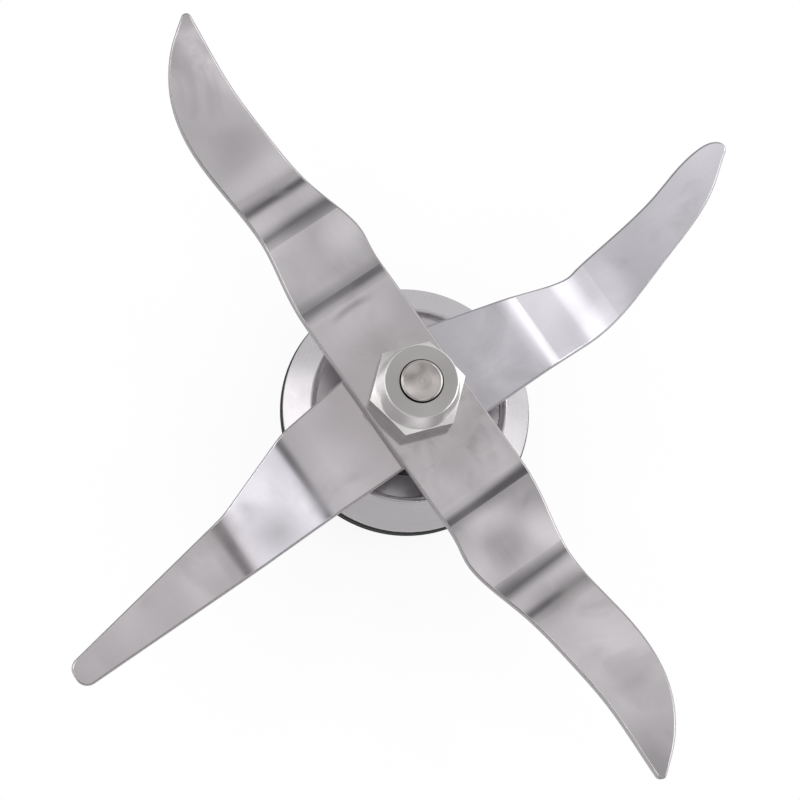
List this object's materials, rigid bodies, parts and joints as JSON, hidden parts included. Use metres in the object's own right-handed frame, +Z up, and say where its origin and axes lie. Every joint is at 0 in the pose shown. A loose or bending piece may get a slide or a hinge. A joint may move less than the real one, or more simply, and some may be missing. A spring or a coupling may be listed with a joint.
{
  "type": "blender blade assembly",
  "caption": "Crossed stainless blender blades, bent and hooked, clamped by a hex nut on a shaft that turns in a flanged bearing housing with a gasket and a fluted drive end.",
  "frame": {"origin": "on the shaft axis, in the plane of the gasket's underside, where the housing's register begins", "axes": "+Z up the shaft towards the nut, +X along the upper blade, +Y along the lower blade's hooked arm"},
  "size_m": [0.1364, 0.1322, 0.0641],
  "materials": {
    "blade_steel": "satin stainless sheet, tumbled",
    "turned_steel": "turned stainless, fine tool marks",
    "nut_steel": "bright turned stainless",
    "shaft_steel": "turned and ground stainless",
    "bearing_steel": "ground and polished bearing steel",
    "shield_steel": "pressed sheet, bright",
    "cage_plastic": "natural moulded",
    "spacer_aluminium": "turned",
    "spring_steel": "dark oiled spring steel",
    "coupling_steel": "sintered, sized",
    "gasket_rubber": "moulded, matt",
    "seal_rubber": "moulded, matt"
  },
  "bodies": {
    "housing": {"bearing_housing": "turned_steel", "flange_gasket": "gasket_rubber", "shaft_seal": "seal_rubber", "garter_spring": "spring_steel", "upper_bearing_outer_ring": "bearing_steel", "upper_bearing_shields": "shield_steel", "lower_bearing_outer_ring": "bearing_steel", "lower_bearing_shields": "shield_steel", "outer_spacer": "spacer_aluminium", "bore_retaining_ring": "spring_steel"},
    "rotor": {"drive_shaft": "shaft_steel", "upper_blade": "blade_steel", "lower_blade": "blade_steel", "blade_nut": "nut_steel", "upper_bearing_inner_ring": "bearing_steel", "lower_bearing_inner_ring": "bearing_steel", "inner_spacer": "spacer_aluminium", "shaft_retaining_ring": "spring_steel", "drive_coupling": "coupling_steel", "coupling_pin": "bearing_steel"},
    "upper_ball_set": {"upper_bearing_balls": "bearing_steel", "upper_bearing_cage": "cage_plastic"},
    "lower_ball_set": {"lower_bearing_balls": "bearing_steel", "lower_bearing_cage": "cage_plastic"}
  },
  "joints": [
    {"name": "blade_spin", "type": "hinge", "parent": "housing", "child": "rotor", "pos_m": [0, 0, 0], "axis": [0, 0, 1], "continuous": true},
    {"name": "upper_ball_roll", "type": "hinge", "parent": "housing", "child": "upper_ball_set", "pos_m": [0, 0, -0.00455], "axis": [0, 0, 1], "continuous": true},
    {"name": "lower_ball_roll", "type": "hinge", "parent": "housing", "child": "lower_ball_set", "pos_m": [0, 0, -0.01955], "axis": [0, 0, 1], "continuous": true}
  ],
  "couplings": [
    {"joint": "upper_ball_roll", "follows": "blade_spin", "ratio": 0.3677},
    {"joint": "lower_ball_roll", "follows": "blade_spin", "ratio": 0.3677}
  ]
}
